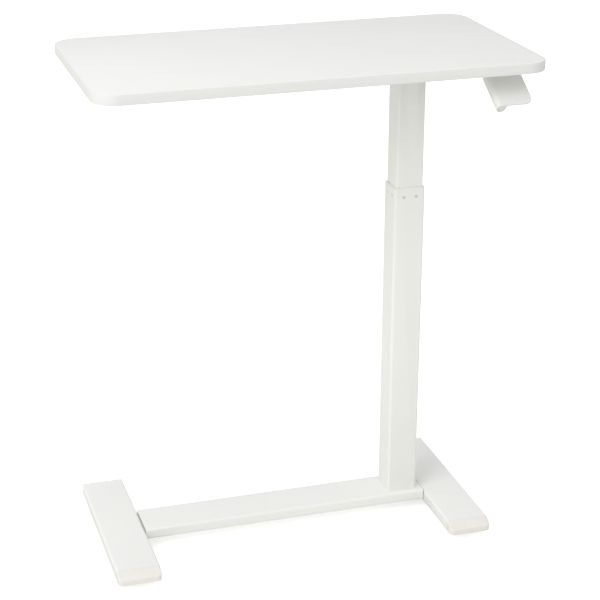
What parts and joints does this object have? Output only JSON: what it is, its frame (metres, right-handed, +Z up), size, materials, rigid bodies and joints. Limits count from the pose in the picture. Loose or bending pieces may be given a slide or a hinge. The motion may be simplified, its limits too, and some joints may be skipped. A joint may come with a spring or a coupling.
{
  "type": "overbed table",
  "caption": "White overbed table: rectangular laminated top on an off-centre telescopic column with a hand release lever, on a low H-shaped base with hidden casters.",
  "frame": {"origin": "on the floor under the centre of the tabletop", "axes": "+Z up, +X to the right along the tabletop's width, the user at the front on the -Y side"},
  "size_m": [0.7, 0.374, 0.82],
  "materials": {
    "laminate": "matt white laminate over particle board",
    "edge_band": "fine texture",
    "white_coat": "fine matt powder coat",
    "white_plastic": "moulded, fine texture",
    "cap_plastic": "moulded, warm white",
    "dark_plastic": "moulded, matt",
    "black_coat": "satin black",
    "bright_rod": "polished",
    "zinc_steel": "zinc plated",
    "grey_plastic": "moulded grey, satin"
  },
  "bodies": {
    "base": {"lower_column_tube": "white_coat", "upper_guide_bush": "white_plastic", "guide_bush_pins": "grey_plastic", "gas_spring_cylinder": "black_coat", "gas_spring_gland": "dark_plastic", "spring_support_tube": "zinc_steel", "column_base_plate": "zinc_steel", "column_bolts": "zinc_steel", "crossbar": "white_coat", "crossbar_end_plate_left": "white_coat", "crossbar_end_plate_right": "white_coat", "foot_left": "white_coat", "foot_right": "white_coat", "foot_bolts": "zinc_steel", "foot_nuts": "zinc_steel", "front_cap_left": "cap_plastic", "front_cap_right": "cap_plastic", "rear_cap_left": "white_plastic", "rear_cap_right": "white_plastic", "caster_plate_front_left": "zinc_steel", "caster_plate_front_right": "zinc_steel", "caster_plate_rear_left": "zinc_steel", "caster_plate_rear_right": "zinc_steel"},
    "top": {"tabletop_board": "laminate", "tabletop_edge_band": "edge_band", "top_support": "white_coat", "tabletop_screws": "zinc_steel", "upper_column_tube": "white_coat", "lower_glide": "dark_plastic", "spring_head_plate": "zinc_steel", "spring_head_nut": "zinc_steel", "gas_spring_rod": "bright_rod", "gas_spring_piston": "dark_plastic", "bearing_block_left": "dark_plastic", "bearing_block_right": "dark_plastic", "bearing_block_screws": "zinc_steel"},
    "lever": {"lever_rod": "zinc_steel", "release_finger": "zinc_steel", "lever_paddle": "white_plastic"},
    "pin": {"release_pin": "bright_rod"},
    "caster_front_left": {"caster_fork_front_left": "dark_plastic", "caster_axle_front_left": "zinc_steel"},
    "wheel_front_left": {"caster_wheel_front_left": "grey_plastic"},
    "caster_front_right": {"caster_fork_front_right": "dark_plastic", "caster_axle_front_right": "zinc_steel"},
    "wheel_front_right": {"caster_wheel_front_right": "grey_plastic"},
    "caster_rear_left": {"caster_fork_rear_left": "dark_plastic", "caster_axle_rear_left": "zinc_steel"},
    "wheel_rear_left": {"caster_wheel_rear_left": "grey_plastic"},
    "caster_rear_right": {"caster_fork_rear_right": "dark_plastic", "caster_axle_rear_right": "zinc_steel"},
    "wheel_rear_right": {"caster_wheel_rear_right": "grey_plastic"}
  },
  "joints": [
    {"name": "height_slide", "type": "slide", "parent": "base", "child": "top", "axis": [0, 0, 1], "range_m": [-0.19, 0]},
    {"name": "lever_lift", "type": "hinge", "parent": "top", "child": "lever", "pos_m": [0.188, -0.06, 0.79], "axis": [-1, 0, 0], "range_deg": [0, 5], "stiffness_Nm_per_rad": 6, "springref_deg": -6.88},
    {"name": "pin_press", "type": "slide", "parent": "top", "child": "pin", "axis": [0, 0, -1], "range_m": [0, 0.0053]},
    {"name": "swivel_front_left", "type": "hinge", "parent": "base", "child": "caster_front_left", "pos_m": [-0.304, -0.112, 0.027], "axis": [0, 0, 1], "continuous": true},
    {"name": "roll_front_left", "type": "hinge", "parent": "caster_front_left", "child": "wheel_front_left", "pos_m": [-0.304, -0.102, 0.012], "axis": [1, 0, 0], "continuous": true},
    {"name": "swivel_front_right", "type": "hinge", "parent": "base", "child": "caster_front_right", "pos_m": [0.2605, -0.112, 0.027], "axis": [0, 0, 1], "continuous": true},
    {"name": "roll_front_right", "type": "hinge", "parent": "caster_front_right", "child": "wheel_front_right", "pos_m": [0.2605, -0.102, 0.012], "axis": [1, 0, 0], "continuous": true},
    {"name": "swivel_rear_left", "type": "hinge", "parent": "base", "child": "caster_rear_left", "pos_m": [-0.304, 0.112, 0.027], "axis": [0, 0, 1], "continuous": true},
    {"name": "roll_rear_left", "type": "hinge", "parent": "caster_rear_left", "child": "wheel_rear_left", "pos_m": [-0.304, 0.102, 0.012], "axis": [1, 0, 0], "continuous": true},
    {"name": "swivel_rear_right", "type": "hinge", "parent": "base", "child": "caster_rear_right", "pos_m": [0.2605, 0.112, 0.027], "axis": [0, 0, 1], "continuous": true},
    {"name": "roll_rear_right", "type": "hinge", "parent": "caster_rear_right", "child": "wheel_rear_right", "pos_m": [0.2605, 0.102, 0.012], "axis": [1, 0, 0], "continuous": true}
  ],
  "couplings": [
    {"joint": "pin_press", "follows": "lever_lift", "m_per_rad": 0.06}
  ]
}
